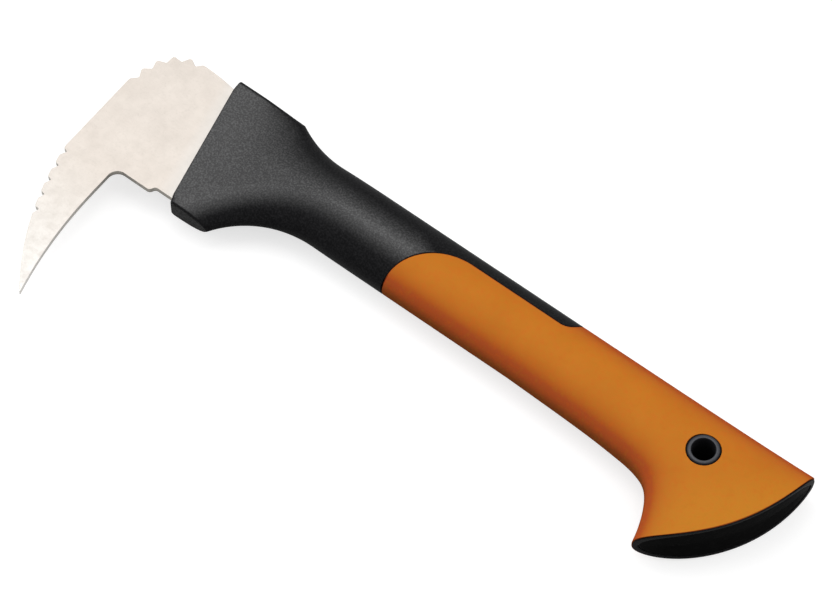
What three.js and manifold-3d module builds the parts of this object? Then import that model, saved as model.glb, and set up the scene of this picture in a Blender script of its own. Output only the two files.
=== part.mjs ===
import * as THREE from 'three';
import { mergeVertices } from 'three/addons/utils/BufferGeometryUtils.js';
import Module from 'manifold-3d';

// Hand pickaroon lying on its side, in millimetres.
// X runs from the striking edge of the head to the butt, Y from the pick's point to the spine
// of the handle and Z through the thickness. Y is zero on the middle line of the grip and
// Z is zero in the middle of the steel plate until the last lines set the tool down.

// Clearances
const fitGap = 0.3;
const cutOverrun = 6;

// Steel head
const plateThickness = 3;
const headWidth = 26.4;
const frontEdgeDrop = 50.4;
const crownDrop = 3.2;
const crownLean = 2.6;
const crownRun = 23.4;
const headTopRun = 12;
const headTopFall = 2;
const pickDrop = 124.8;
const pickTipX = 34.4;
const pickTipFlat = 0.8;
const outerEdgeBulge = 5.2;
const hookStraight = 14;
const hookBulge = 2;
const throatFillet = 5.5;
const throatStep = 3.1;
const throatStepRun = 1.4;
const throatStepPlace = 11.6;

// Bark teeth on the crown and below the striking edge
const crownToothCount = 5;
const crownToothPitch = 8.4;
const crownToothDepth = 2.7;
const crownNotchShare = 0.42;
const crownShoulderShare = 0.86;
const lowerToothCount = 5;
const lowerToothPitch = 8.6;
const lowerToothDepth = 2.5;
const lowerNotchShare = 0.16;
const lowerShoulderShare = 0.5;
const firstToothInset = 1;

// Tang inside the collar
const tangLength = 55;
const tongueWidth = 24;
const tangTopShoulder = 18;
const tangToeShoulder = 8;
const tangToeSlant = 18;
const tangHoleDiameter = 9;
const tangHolePlace = 20;
const tangHoleSpacing = 22;

// Collar that grips the head
const throatLength = 33.6;
const collarLean = 15.4;
const collarThickness = 12;
const collarRise = 7.9;
const collarTopLength = 38.6;
const collarTopWall = 3.2;
const collarToeWall = 3.7;
const collarSpineRound = 2.6;
const collarBellyRound = 18;
const spineTurnStart = 58;
const spineTurnLength = 34;
const collarFrontBend = 1.1;
const collarFrontBendDrop = 7;
const toeReach = 25;
const toeLength = 22;
const bellySweepRadius = 50.5;
const neckLength = 30;
const wedgeStart = 2;
const wedgeLength = 78;

// Shaft and soft grip
const gripWidth = 40.8;
const gripThickness = 26.8;
const gripFullness = 2.2;
const gripWall = 2.2;
const shaftLength = 41;
const gripCornerRun = 30;
const gripCornerRise = 31.9;
const spineStripLength = 80.4;
const spineStripEndRun = 7.5;

// Flared butt
const flareStart = 73;
const flareSpineLength = 145.2;
const buttSpineRise = 1.2;
const heelRun = 97.9;
const heelDrop = 35.6;
const buttBulge = 12.4;
const buttThickness = 28.4;
const buttFullness = 2.6;
const buttCrestShare = 0.54;
const buttRimDepth = 0.5;
const buttRimWidth = 3;

// Belly edge of the flare, as shares of the run and the drop to the heel
const bellyRunShares = [0, 0.44, 0.69, 0.79, 0.84, 0.905, 0.95, 0.98, 1];
const bellyDropShares = [0, 0.036, 0.085, 0.135, 0.185, 0.35, 0.55, 0.75, 1];

// Hollow of the core and the plug that closes it
const coreWall = 3.4;
const hollowStart = 24;
const plugFaceDepth = 0.9;
const plugSkirtDepth = 9;
const plugSkirtWall = 2;

// Hanging hole
const hangHolePlace = 46.3;
const hangHoleOffset = 2.6;
const bushDiameter = 16.4;
const boreDiameter = 11.8;

// Fineness of the round surfaces, as counts
const quarterSteps = 5;
const collarRings = 12;
const shaftRings = 2;
const flareRings = 20;
const holeSides = 28;
const outlineSteps = 10;
const edgeHalf = 0.12;

// Places worked out from the sizes above
const gripHalfWidth = gripWidth / 2;
const gripHalfThickness = gripThickness / 2;
const collarHalfThickness = collarThickness / 2;
const toeX = headWidth + throatLength;
const collarFrontX = toeX - collarLean;
const collarTopY = gripHalfWidth + collarRise;
const toeY = -gripHalfWidth - toeReach;
const headTopY = collarTopY - collarTopWall;
const tangTopY = headTopY - headTopFall;
const throatY = toeY + collarToeWall;
const neckStartX = collarFrontX + collarTopLength;
const toeCornerX = toeX + toeLength;
const sweepRise = Math.sqrt(bellySweepRadius ** 2 - (bellySweepRadius - toeReach) ** 2);
const sweepEndX = toeCornerX + sweepRise;
const gripFrontX = sweepEndX + shaftLength;
const stripY = gripCornerRise - gripHalfWidth;
const flareStartX = gripFrontX + flareStart;
const sidewaysReach = Math.max(gripHalfWidth + heelDrop, collarTopY, -toeY) + cutOverrun;

const wasm = await Module();
wasm.setup();

// Solids and booleans

function solidFrom(geometry) {
  const bare = geometry.clone();
  bare.deleteAttribute('normal');
  bare.deleteAttribute('uv');
  const welded = mergeVertices(bare);
  const vertProperties = new Float32Array(welded.attributes.position.array);
  const triVerts = new Uint32Array(welded.index.array);
  return new wasm.Manifold(new wasm.Mesh({ numProp: 3, vertProperties, triVerts }));
}

function geometryFrom(solid) {
  const mesh = solid.getMesh();
  const geometry = new THREE.BufferGeometry();
  geometry.setAttribute('position', new THREE.BufferAttribute(mesh.vertProperties, 3));
  geometry.setIndex(new THREE.BufferAttribute(mesh.triVerts, 1));
  geometry.computeVertexNormals();
  return geometry;
}

// A plan outline raised to a given height, half above and half below the middle plane
function prism(outline, height, holes = []) {
  const shape = new THREE.Shape(outline);
  shape.holes.push(...holes);
  const settings = { depth: height, bevelEnabled: false, curveSegments: holeSides };
  return new THREE.ExtrudeGeometry(shape, settings).translate(0, 0, -height / 2);
}

function uprightCylinder(radius, height, centre) {
  const geometry = new THREE.CylinderGeometry(radius, radius, height, holeSides);
  return geometry.rotateX(Math.PI / 2).translate(centre.x, centre.y, 0);
}

function smooth(share) {
  const held = THREE.MathUtils.clamp(share, 0, 1);
  return held * held * (3 - 2 * held);
}

// Sections of the handle

// Height of an oval edge at a distance in from the outline; a fullness of 2 is a true ellipse
function roundedShare(distance, round, fullness = 2) {
  const inner = 1 - THREE.MathUtils.clamp(distance / round, 0, 1);
  return (1 - inner ** fullness) ** (1 / fullness);
}

function halfThicknessAt(x) {
  const share = smooth((x - toeX - wedgeStart) / wedgeLength);
  return THREE.MathUtils.lerp(collarHalfThickness, gripHalfThickness, share);
}

function spineY(x) {
  const share = THREE.MathUtils.clamp((x - neckStartX) / neckLength, 0, 1);
  return gripHalfWidth + collarRise * (1 - share) ** 2;
}

// Distance of a plan point in from the swept belly edge of the collar
function bellyDistance(point) {
  if (point.x >= sweepEndX) {
    return point.y + gripHalfWidth;
  }
  const centreY = -gripHalfWidth - bellySweepRadius;
  return Math.hypot(point.x - sweepEndX, point.y - centreY) - bellySweepRadius;
}

function bellyEdge(x) {
  if (x <= toeCornerX) {
    return new THREE.Vector2(x, toeY);
  }
  const drop = bellySweepRadius - Math.sqrt(bellySweepRadius ** 2 - (sweepEndX - x) ** 2);
  return new THREE.Vector2(x, -gripHalfWidth - drop);
}

// One closed ring: across the upper side from spine to belly and back across the lower side
function ringAlong(curve, start, end, spineRound, bellyRound, heightAt) {
  const places = [];
  for (let step = 0; step <= quarterSteps; step += 1) {
    const share = 1 - Math.cos((step / quarterSteps) * (Math.PI / 2));
    places.push(start + spineRound * share);
  }
  for (let step = quarterSteps; step >= 0; step -= 1) {
    const share = 1 - Math.cos((step / quarterSteps) * (Math.PI / 2));
    places.push(end - bellyRound * share);
  }
  const upper = places.map((place) => {
    const point = curve(place);
    return new THREE.Vector3(point.x, point.y, Math.max(heightAt(point, place), edgeHalf));
  });
  const lower = upper.map((point) => new THREE.Vector3(point.x, point.y, -point.z));
  return [...upper, ...lower.reverse()];
}

// Collar ring between a place on the spine edge and a place on the belly edge
function collarRing(share) {
  const spineX = THREE.MathUtils.lerp(collarFrontX, sweepEndX, share);
  const bellyX = THREE.MathUtils.lerp(toeX, sweepEndX, share);
  const spine = new THREE.Vector2(spineX, spineY(spineX));
  const belly = bellyEdge(bellyX);
  const length = spine.distanceTo(belly);
  const blend = smooth((spineX - neckStartX) / (sweepEndX - neckStartX));
  const spineTurn = smooth((spineX - spineTurnStart) / spineTurnLength);
  const fullRound = length * 0.5 - edgeHalf;
  const spineRound = THREE.MathUtils.lerp(collarSpineRound, fullRound, spineTurn);
  const bellyRound = THREE.MathUtils.lerp(collarBellyRound, fullRound, blend);
  const bend = collarFrontBend * (1 - share) ** 4;
  const fullness = THREE.MathUtils.lerp(2, gripFullness, blend);
  const curve = (place) => {
    const point = spine.clone().lerp(belly, place / length);
    const nearBend = place < collarFrontBendDrop
      ? place / collarFrontBendDrop
      : (length - place) / (length - collarFrontBendDrop);
    point.x -= bend * nearBend;
    return point;
  };
  const spineHeight = (place) => THREE.MathUtils.lerp(
    roundedShare(place, collarSpineRound),
    roundedShare(place, fullRound, fullness),
    spineTurn,
  );
  const heightAt = (point, place) => halfThicknessAt(point.x) * spineHeight(place)
    * roundedShare(bellyDistance(point), bellyRound, fullness);
  return ringAlong(curve, 0, length, spineRound, bellyRound, heightAt);
}

// Belly outline of the flare, from the straight grip round the inner corner to the heel
function flareBellyPath() {
  const points = bellyRunShares.map((runShare, index) => {
    const drop = heelDrop * bellyDropShares[index];
    return new THREE.Vector2(flareStartX + heelRun * runShare, -gripHalfWidth - drop);
  });
  return new THREE.SplineCurve(points);
}

const flareBelly = flareBellyPath();
const flareBellyLength = flareBelly.getLength();

// Plan line of a flare station: straight across the grip at 0, the bulged butt line at 1
function flareLine(station) {
  const spineEdgeY = gripHalfWidth + buttSpineRise * station ** 4;
  const spine = new THREE.Vector2(flareStartX + flareSpineLength * station, spineEdgeY);
  const belly = flareBelly.getPointAt(station);
  const chord = belly.clone().sub(spine);
  const outward = new THREE.Vector2(-chord.y, chord.x).normalize();
  const bulge = buttBulge * station ** 2;
  const pointAt = (share) => {
    const swell = 4 * share * (1 - share) * bulge;
    return spine.clone().lerp(belly, share).addScaledVector(outward, swell);
  };
  const tangent = flareBelly.getTangentAt(station);
  const bellySlant = Math.abs(chord.x * tangent.y - chord.y * tangent.x) / chord.length();
  const spineSlant = Math.abs(chord.y) / chord.length();
  return { pointAt, length: chord.length(), bellySlant, spineSlant, outward };
}

function flareRing(station, inset) {
  const line = flareLine(station);
  const start = inset / line.spineSlant / line.length;
  const end = 1 - inset / line.bellySlant / line.length;
  const nearness = station ** 2;
  const crest = THREE.MathUtils.lerp(0.5, buttCrestShare, nearness);
  const room = end - start - (2 * edgeHalf) / line.length;
  const spineRound = room * crest;
  const bellyRound = room * (1 - crest);
  const height = THREE.MathUtils.lerp(gripThickness, buttThickness, nearness) / 2 - inset;
  const fullness = THREE.MathUtils.lerp(gripFullness, buttFullness, nearness);
  const heightAt = (point, place) => height
    * roundedShare(place - start, spineRound, fullness)
    * roundedShare(end - place, bellyRound, fullness);
  return ringAlong(line.pointAt, start, end, spineRound, bellyRound, heightAt);
}

function shaftRing(x, inset) {
  const halfWidth = gripHalfWidth - inset;
  const round = halfWidth - edgeHalf;
  const curve = (place) => new THREE.Vector2(x, halfWidth - place);
  const heightAt = (point, place) => (halfThicknessAt(x) - inset)
    * roundedShare(place, round, gripFullness)
    * roundedShare(2 * halfWidth - place, round, gripFullness);
  return ringAlong(curve, 0, 2 * halfWidth, round, round, heightAt);
}

// Station of the flare that lies a given depth in from the butt, measured at the heel
function stationInside(depth) {
  return 1 - depth / flareBellyLength;
}

function range(count, from, to) {
  return Array.from({ length: count + 1 }, (_, index) => from + ((to - from) * index) / count);
}

function flareSteps(from, to) {
  const count = Math.max(1, Math.round(flareRings * (to - from)));
  return range(count, from, to);
}

// Closed body through a row of rings
function loft(rings) {
  const width = rings[0].length;
  const half = width / 2;
  const corners = [];
  const quad = (a, b, c, d) => corners.push(a, b, c, a, c, d);
  rings.slice(1).forEach((ring, row) => {
    const before = rings[row];
    for (let index = 0; index < width; index += 1) {
      const next = (index + 1) % width;
      quad(before[index], before[next], ring[next], ring[index]);
    }
  });
  const first = rings[0];
  const last = rings[rings.length - 1];
  for (let index = 0; index < half - 1; index += 1) {
    const under = width - 1 - index;
    quad(first[under], first[under - 1], first[index + 1], first[index]);
    quad(last[index], last[index + 1], last[under - 1], last[under]);
  }
  return new THREE.BufferGeometry().setFromPoints(corners);
}

// A ring moved out past the butt so that a cut opens cleanly
function pastButt(ring) {
  const step = flareLine(1).outward.multiplyScalar(cutOverrun);
  return ring.map((point) => new THREE.Vector3(point.x + step.x, point.y + step.y, point.z));
}

function handleOutside() {
  const collar = range(collarRings, 0, 1).map(collarRing);
  const shaft = range(shaftRings, sweepEndX, flareStartX).slice(1, -1);
  const flare = range(flareRings, 0, 1).map((station) => flareRing(station, 0));
  return loft([...collar, ...shaft.map((x) => shaftRing(x, 0)), ...flare]);
}

// The handle's form drawn in by an inset, from a place on the shaft to a station of the flare
function handleInside(fromX, toStation, inset, open = false) {
  const rings = [shaftRing(fromX, inset)];
  rings.push(...flareSteps(0, toStation).map((station) => flareRing(station, inset)));
  if (open) {
    rings.push(pastButt(rings[rings.length - 1]));
  }
  return loft(rings);
}

// The last stretch of the flare between two stations, drawn in by an inset
function buttSlice(fromStation, toStation, inset, open = false) {
  const rings = flareSteps(fromStation, toStation).map((station) => flareRing(station, inset));
  if (open) {
    rings.push(pastButt(rings[rings.length - 1]));
  }
  return loft(rings);
}

// Plan region that the soft grip covers, let out by a clearance
function gripRegion(clearance, station) {
  const outline = new THREE.Path();
  const front = gripFrontX - clearance;
  const cornerX = gripFrontX + gripCornerRun;
  const stripEndX = gripFrontX + spineStripLength;
  const stripTipX = stripEndX + spineStripEndRun - clearance;
  const line = flareLine(station);
  const beyond = cutOverrun / line.length;
  outline.moveTo(front, -sidewaysReach);
  outline.lineTo(front, -gripHalfWidth);
  outline.absellipse(cornerX, -gripHalfWidth, gripCornerRun + clearance,
    gripCornerRise + clearance, Math.PI, Math.PI / 2, true);
  outline.lineTo(stripEndX, stripY + clearance);
  outline.absellipse(stripEndX, gripHalfWidth, stripTipX - stripEndX,
    gripHalfWidth - stripY - clearance, -Math.PI / 2, 0, false);
  outline.lineTo(stripTipX, sidewaysReach);
  const points = outline.getPoints(outlineSteps);
  points.push(new THREE.Vector2(line.pointAt(-beyond).x, sidewaysReach));
  points.push(...range(outlineSteps * 2, -beyond, 1 + beyond).map(line.pointAt));
  points.push(new THREE.Vector2(line.pointAt(1 + beyond).x, -sidewaysReach));
  return prism(points, buttThickness + cutOverrun);
}

// Steel head

// Points of a row of teeth along a curve, with notches cut to one side of its direction
function toothedEdge(curve, teeth) {
  const length = curve.getLength();
  const at = (distance, depth) => {
    const share = THREE.MathUtils.clamp(distance / length, 0, 1);
    const point = curve.getPointAt(share);
    const tangent = curve.getTangentAt(share);
    const inward = new THREE.Vector2(tangent.y, -tangent.x).multiplyScalar(teeth.side * depth);
    return point.add(inward);
  };
  const points = [];
  for (let tooth = 0; tooth < teeth.count; tooth += 1) {
    const tip = firstToothInset + tooth * teeth.pitch;
    points.push(at(tip, 0));
    points.push(at(tip + teeth.pitch * teeth.notchShare, teeth.depth));
    points.push(at(tip + teeth.pitch * teeth.shoulderShare, 0));
  }
  return points;
}

function bulgedCurve(from, to, bulge) {
  const chord = to.clone().sub(from);
  const control = from.clone().lerp(to, 0.5);
  const side = new THREE.Vector2(chord.y, -chord.x).setLength(2 * bulge);
  return new THREE.QuadraticBezierCurve(from, control.add(side), to);
}

function crownPoints() {
  const from = new THREE.Vector2(0, -crownDrop);
  const control = new THREE.Vector2(crownLean, headTopY);
  const to = new THREE.Vector2(crownRun, headTopY);
  const curve = new THREE.QuadraticBezierCurve(from, control, to);
  const teeth = {
    count: crownToothCount,
    pitch: crownToothPitch,
    depth: crownToothDepth,
    notchShare: crownNotchShare,
    shoulderShare: crownShoulderShare,
    side: 1,
  };
  const row = toothedEdge(curve, teeth);
  row.pop();
  return [from, ...row];
}

function outerEdgePoints() {
  const from = new THREE.Vector2(0, -frontEdgeDrop);
  const to = new THREE.Vector2(pickTipX - pickTipFlat, -pickDrop + pickTipFlat);
  const curve = bulgedCurve(from, to, outerEdgeBulge);
  const teeth = {
    count: lowerToothCount,
    pitch: lowerToothPitch,
    depth: lowerToothDepth,
    notchShare: lowerNotchShare,
    shoulderShare: lowerShoulderShare,
    side: -1,
  };
  const row = toothedEdge(curve, teeth);
  const toothedShare = (firstToothInset + lowerToothCount * lowerToothPitch) / curve.getLength();
  const plain = range(outlineSteps, Math.min(toothedShare, 1), 1).map((share) => curve.getPointAt(share));
  return [from, ...row, ...plain, new THREE.Vector2(pickTipX, -pickDrop)];
}

// Upper edge of the plate, level behind the crown and falling towards the collar
function headTopPoints() {
  const from = new THREE.Vector2(crownRun, headTopY);
  const control = new THREE.Vector2(crownRun + headTopRun, headTopY);
  const to = new THREE.Vector2(collarFrontX, tangTopY);
  return new THREE.QuadraticBezierCurve(from, control, to).getPoints(quarterSteps);
}

function hookPoints() {
  const throatFloorY = throatY - throatStep;
  const stepX = toeX - throatStepPlace;
  const straightEndY = throatFloorY - throatFillet - hookStraight;
  const hookStart = new THREE.Vector2(headWidth, straightEndY);
  const tip = new THREE.Vector2(pickTipX, -pickDrop + pickTipFlat);
  const inner = bulgedCurve(hookStart, tip, hookBulge);
  const fillet = new THREE.Path();
  fillet.absarc(headWidth + throatFillet, throatFloorY - throatFillet, throatFillet,
    Math.PI / 2, Math.PI, false);
  return [
    new THREE.Vector2(stepX, throatY),
    new THREE.Vector2(stepX - throatStepRun, throatFloorY),
    ...fillet.getPoints(outlineSteps),
    ...inner.getPoints(outlineSteps),
  ];
}

// Tang outline inside the collar, let out by a clearance, from the crown side to the throat side
function tangPoints(clearance) {
  const tongue = tongueWidth / 2 + clearance;
  const topShoulderX = collarFrontX + tangTopShoulder + clearance;
  const endX = toeX + tangLength + clearance;
  const slantRise = -tongueWidth / 2 - throatY;
  const slantShift = (clearance * Math.hypot(tangToeSlant, slantRise)) / slantRise;
  const toeShoulderX = toeX + tangToeShoulder + slantShift;
  return [
    new THREE.Vector2(topShoulderX, tangTopY + clearance),
    new THREE.Vector2(topShoulderX, tongue),
    new THREE.Vector2(endX, tongue),
    new THREE.Vector2(endX, -tongue),
    new THREE.Vector2(toeShoulderX + tangToeSlant, -tongue),
    new THREE.Vector2(toeShoulderX, throatY - clearance),
  ];
}

function tangHoleCentres() {
  const first = new THREE.Vector2(toeX + tangHolePlace, 0);
  return [first, first.clone().add(new THREE.Vector2(tangHoleSpacing, 0))];
}

function pickHead() {
  const outline = [
    ...crownPoints(),
    ...headTopPoints(),
    ...tangPoints(0),
    ...hookPoints(),
    ...outerEdgePoints().reverse(),
  ];
  const rim = new THREE.Vector2(tangHoleDiameter / 2, 0);
  const turns = range(holeSides, 0, Math.PI * 2).slice(1);
  const holes = tangHoleCentres().map((centre) => {
    const points = turns.map((turn) => rim.clone().rotateAround(new THREE.Vector2(), turn));
    return new THREE.Path(points.map((point) => point.add(centre)));
  });
  return prism(outline, plateThickness, holes);
}

// Slot that the tang fills, with the moulded pegs that lock it left standing
function tangSlot() {
  const mouthX = collarFrontX - cutOverrun;
  const outline = [
    new THREE.Vector2(mouthX, tangTopY + fitGap),
    ...tangPoints(fitGap),
    new THREE.Vector2(mouthX, throatY - fitGap),
  ];
  let slot = solidFrom(prism(outline, plateThickness + 2 * fitGap));
  for (const centre of tangHoleCentres()) {
    const pegRadius = tangHoleDiameter / 2 - fitGap;
    slot = slot.subtract(solidFrom(uprightCylinder(pegRadius, collarThickness, centre)));
  }
  return slot;
}

// Handle pieces

const outside = solidFrom(handleOutside());
const hangHoleCentre = new THREE.Vector2(flareStartX + flareSpineLength - hangHolePlace, -hangHoleOffset);
const throughHeight = buttThickness + cutOverrun;

function bushSeat() {
  const radius = bushDiameter / 2 + fitGap;
  return solidFrom(uprightCylinder(radius, throughHeight, hangHoleCentre));
}

function gripSleeve() {
  const endStation = stationInside(buttRimDepth + fitGap);
  const region = solidFrom(gripRegion(0, endStation));
  const inner = solidFrom(handleInside(sweepEndX, 1, gripWall, true));
  return outside.intersect(region).subtract(inner).subtract(bushSeat());
}

function handleCore() {
  const recessed = gripWall + fitGap;
  const hollowInset = recessed + coreWall;
  const region = solidFrom(gripRegion(fitGap, stationInside(buttRimDepth)));
  const inner = solidFrom(handleInside(sweepEndX, stationInside(buttRimDepth / 2), recessed));
  const hollow = solidFrom(handleInside(gripFrontX + hollowStart, 1, hollowInset, true));
  const plugSeat = solidFrom(buttSlice(stationInside(plugFaceDepth), 1, buttRimWidth, true));
  return outside.subtract(region).add(inner)
    .subtract(hollow).subtract(plugSeat)
    .subtract(tangSlot()).subtract(bushSeat());
}

function buttPlug() {
  const skirtInset = gripWall + coreWall + 3 * fitGap;
  const faceStart = stationInside(plugFaceDepth - fitGap);
  const face = solidFrom(buttSlice(faceStart, 1, buttRimWidth + fitGap));
  const skirtEnd = stationInside(plugFaceDepth / 2);
  const skirtStart = stationInside(plugSkirtDepth);
  const skirt = solidFrom(buttSlice(skirtStart, skirtEnd, skirtInset));
  const roomStart = stationInside(plugSkirtDepth + plugSkirtWall);
  const room = solidFrom(buttSlice(roomStart, faceStart, skirtInset + plugSkirtWall));
  return face.add(skirt.subtract(room));
}

function hangHoleBush() {
  const outer = bushDiameter / 2;
  const bore = boreDiameter / 2;
  const half = throughHeight / 2;
  const tube = solidFrom(uprightCylinder(outer, throughHeight, hangHoleCentre));
  const profile = [
    new THREE.Vector2(0, -half),
    new THREE.Vector2(bore, -half),
    new THREE.Vector2(bore, half),
    new THREE.Vector2(0, half),
  ];
  const hole = new THREE.LatheGeometry(profile, holeSides).rotateX(Math.PI / 2);
  hole.translate(hangHoleCentre.x, hangHoleCentre.y, 0);
  return tube.intersect(outside).subtract(solidFrom(hole));
}

// Finishes

const finishes = {
  steel: { color: 0xe9dfd3, roughness: 0.42, metalness: 0.85 },
  core: { color: 0x2b2b2d, roughness: 0.62, metalness: 0 },
  grip: { color: 0xc4772a, roughness: 0.55, metalness: 0 },
  plug: { color: 0x121213, roughness: 0.35, metalness: 0 },
  bush: { color: 0x1c1c1e, roughness: 0.4, metalness: 0 },
};

function namedMesh(name, geometry, finish) {
  const mesh = new THREE.Mesh(geometry, new THREE.MeshStandardMaterial(finish));
  mesh.name = name;
  return mesh;
}

const pickaroon = new THREE.Group();
pickaroon.add(namedMesh('pick_head', pickHead(), finishes.steel));
pickaroon.add(namedMesh('handle_core', geometryFrom(handleCore()), finishes.core));
pickaroon.add(namedMesh('grip_sleeve', geometryFrom(gripSleeve()), finishes.grip));
pickaroon.add(namedMesh('butt_plug', geometryFrom(buttPlug()), finishes.plug));
pickaroon.add(namedMesh('hang_hole_bush', geometryFrom(hangHoleBush()), finishes.bush));

// Set down so that the origin is under the middle of the whole tool
const reach = new THREE.Box3().setFromObject(pickaroon);
const middle = reach.getCenter(new THREE.Vector3());
pickaroon.position.set(-middle.x, -middle.y, -reach.min.z);

export default pickaroon;
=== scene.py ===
"""Hand pickaroon: a flat steel pick with bark teeth in a moulded, soft-gripped handle."""
import math

import bmesh
import bpy
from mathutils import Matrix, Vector


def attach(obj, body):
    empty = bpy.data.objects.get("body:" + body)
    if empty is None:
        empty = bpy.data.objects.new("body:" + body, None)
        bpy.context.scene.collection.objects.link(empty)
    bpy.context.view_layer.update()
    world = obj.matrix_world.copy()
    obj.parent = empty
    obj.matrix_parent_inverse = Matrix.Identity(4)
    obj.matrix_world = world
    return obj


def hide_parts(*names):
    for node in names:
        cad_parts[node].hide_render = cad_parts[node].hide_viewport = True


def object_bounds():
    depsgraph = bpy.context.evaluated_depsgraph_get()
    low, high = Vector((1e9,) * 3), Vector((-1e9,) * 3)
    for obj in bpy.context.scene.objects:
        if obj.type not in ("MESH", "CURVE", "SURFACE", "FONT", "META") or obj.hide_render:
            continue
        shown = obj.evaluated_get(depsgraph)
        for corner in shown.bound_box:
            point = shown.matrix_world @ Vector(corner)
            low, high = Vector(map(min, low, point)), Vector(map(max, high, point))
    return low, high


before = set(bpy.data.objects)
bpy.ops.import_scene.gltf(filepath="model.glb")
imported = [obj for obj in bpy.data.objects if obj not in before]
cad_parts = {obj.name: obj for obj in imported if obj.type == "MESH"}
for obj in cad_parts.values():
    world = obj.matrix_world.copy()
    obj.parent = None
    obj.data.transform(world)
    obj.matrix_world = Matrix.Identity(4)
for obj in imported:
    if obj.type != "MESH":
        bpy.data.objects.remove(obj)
cad_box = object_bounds()

# Sizes are in millimetres. X runs from the striking edge to the butt, Y from the pick's point
# to the spine with zero on the grip's middle line, and Z is zero in the middle of the plate.
MM = 0.001

# Steel head
PLATE_THICKNESS = 3.0
HEAD_WIDTH = 26.4
FRONT_EDGE_DROP = 50.4
CROWN_DROP = 3.2
CROWN_LEAN = 2.6
CROWN_RUN = 23.4
HEAD_TOP_RUN = 12.0
HEAD_TOP_FALL = 2.0
PICK_DROP = 124.8
PICK_TIP_X = 34.4
PICK_TIP_FLAT = 0.8
OUTER_EDGE_BULGE = 5.2
HOOK_STRAIGHT = 14.0
HOOK_BULGE = 2.0
THROAT_FILLET = 5.5
THROAT_STEP = 3.1
THROAT_STEP_RUN = 1.4
THROAT_STEP_PLACE = 11.6
THROAT_STEP_ROUND = 1.4
TANG_LENGTH = 11.0
CROWN_TEETH = {"count": 5, "pitch": 8.4, "depth": 2.7, "notch": 0.42, "shoulder": 0.86, "side": 1}
LOWER_TEETH = {"count": 5, "pitch": 8.6, "depth": 2.5, "notch": 0.16, "shoulder": 0.5, "side": -1}
FIRST_TOOTH_INSET = 1.0
TOOTH_TIP_RADIUS = 0.8
PLATE_EDGE_BEVEL = 0.3

# Collar
THROAT_LENGTH = 33.6
COLLAR_LEAN = 15.4
COLLAR_HALF = 6.0
COLLAR_RISE = 7.9
COLLAR_TOP_LENGTH = 38.6
COLLAR_TOP_WALL = 3.2
COLLAR_TOE_WALL = 3.7
COLLAR_SPINE_ROUND = 2.6
COLLAR_BELLY_ROUND = 18.0
SPINE_TURN_START = 58.0
SPINE_TURN_LENGTH = 34.0
COLLAR_FRONT_BEND = 1.1
COLLAR_FRONT_BEND_DROP = 7.0
COLLAR_EDGE_ROUND = 0.7
TOE_REACH = 25.0
TOE_LENGTH = 22.0
TOE_CORNER_RADIUS = 0.3
TOE_FOOT_RADIUS = 3.0
TOE_FOOT_FADE = 4.0
TOE_GROOVE_DROP = 0.4
TOE_GROOVE_WIDTH = 0.5
TOE_GROOVE_DEPTH = 0.45
TOE_GROOVE_SLOPE = 0.5
TOE_GROOVE_FADE = 1.6
BELLY_SWEEP_RADIUS = 50.5
NECK_LENGTH = 30.0
WEDGE_START = 2.0
WEDGE_LENGTH = 78.0
SLOT_CLEARANCE = 0.12

# Shaft and soft grip
GRIP_HALF_WIDTH = 20.4
GRIP_HALF = 13.4
GRIP_FULLNESS = 2.2
GRIP_WALL = 2.2
SHAFT_LENGTH = 41.0
GRIP_CORNER_RUN = 30.0
GRIP_CORNER_RISE = 31.9
STRIP_LENGTH = 80.4
STRIP_TIP_RUN = 7.5
SEAM_GAP = 0.1
GRIP_EDGE_ROUND = 0.6
CORE_EDGE_ROUND = 0.3
EDGE_SHARES = (1.0, 0.4, 0.1, 0.0)

# Flared butt
FLARE_START = 73.0
FLARE_SPINE_LENGTH = 145.2
BUTT_SPINE_RISE = 1.2
HEEL_RUN = 97.9
HEEL_DROP = 35.6
BUTT_BULGE = 12.4
BUTT_HALF = 14.2
BUTT_FULLNESS = 2.6
BUTT_CREST_SHARE = 0.54
BELLY_RUN_SHARES = (0, 0.44, 0.66, 0.74, 0.79, 0.835, 0.875, 0.908, 0.936, 0.96, 0.982, 1)
BELLY_DROP_SHARES = (0, 0.036, 0.077, 0.104, 0.137, 0.184, 0.262, 0.372, 0.504, 0.646, 0.815, 1)
BUTT_RIM_DEPTH = 0.3
BUTT_RIM_WIDTH = 2.6
BUTT_RIM_INSET = 0.6
BUTT_RIM_ROUND = 0.25
GRIP_END_ROUND = 0.4
PLUG_SINK = 0.35
PLUG_DISH = 0.5
PLUG_THICKNESS = 3.0
PLUG_ROUND = 0.4

# Hanging hole
HANG_HOLE_PLACE = 46.3
HANG_HOLE_OFFSET = 2.6
BUSH_RADIUS = 8.2
BORE_RADIUS = 5.6
BUSH_PROUD = 0.15
BUSH_LIP_ROUND = 1.7
BUSH_MOUTH_ROUND = 0.5
BUSH_CLEARANCE = 0.15

# How finely the surfaces are divided
ROW_STEP = 1.4
ROW_CLOSEST = 0.02
OUTER_COLUMNS = 64
INNER_COLUMNS = 20
FULL_TURN_STEPS = 72
CURVE_STEPS = 80
HEAD_TOP_STEPS = 10
PLAIN_EDGE_STEPS = 16
HOOK_STEPS = 20
FILLET_STEPS = 12
CORNER_STEPS = 4
BEVEL_STEPS = 2
COLLAR_ROUND_STEPS = 4
RIM_OUTER_STEPS = 5
RIM_INNER_STEPS = 3
GRIP_END_STEPS = 6
PLUG_ROUND_STEPS = 4
BUSH_ROUND_STEPS = 8
SLOT_WALL_SHARES = (0.8, 0.6, 0.4, 0.2, 0)
BELLY_SPAN_STEPS = 30
CARRIER_SHAFT_ROWS = 12
CARRIER_FLARE_ROWS = 40
DISH_ROWS = 12
FRONT_ROW_STRETCH = (1, 1.6, 2.4, 3.4)
EVEN_ROWS_START = 5
HALVINGS = 30
HOLE_STEPS = 20
JOIN_DISTANCE = 1e-4
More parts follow.
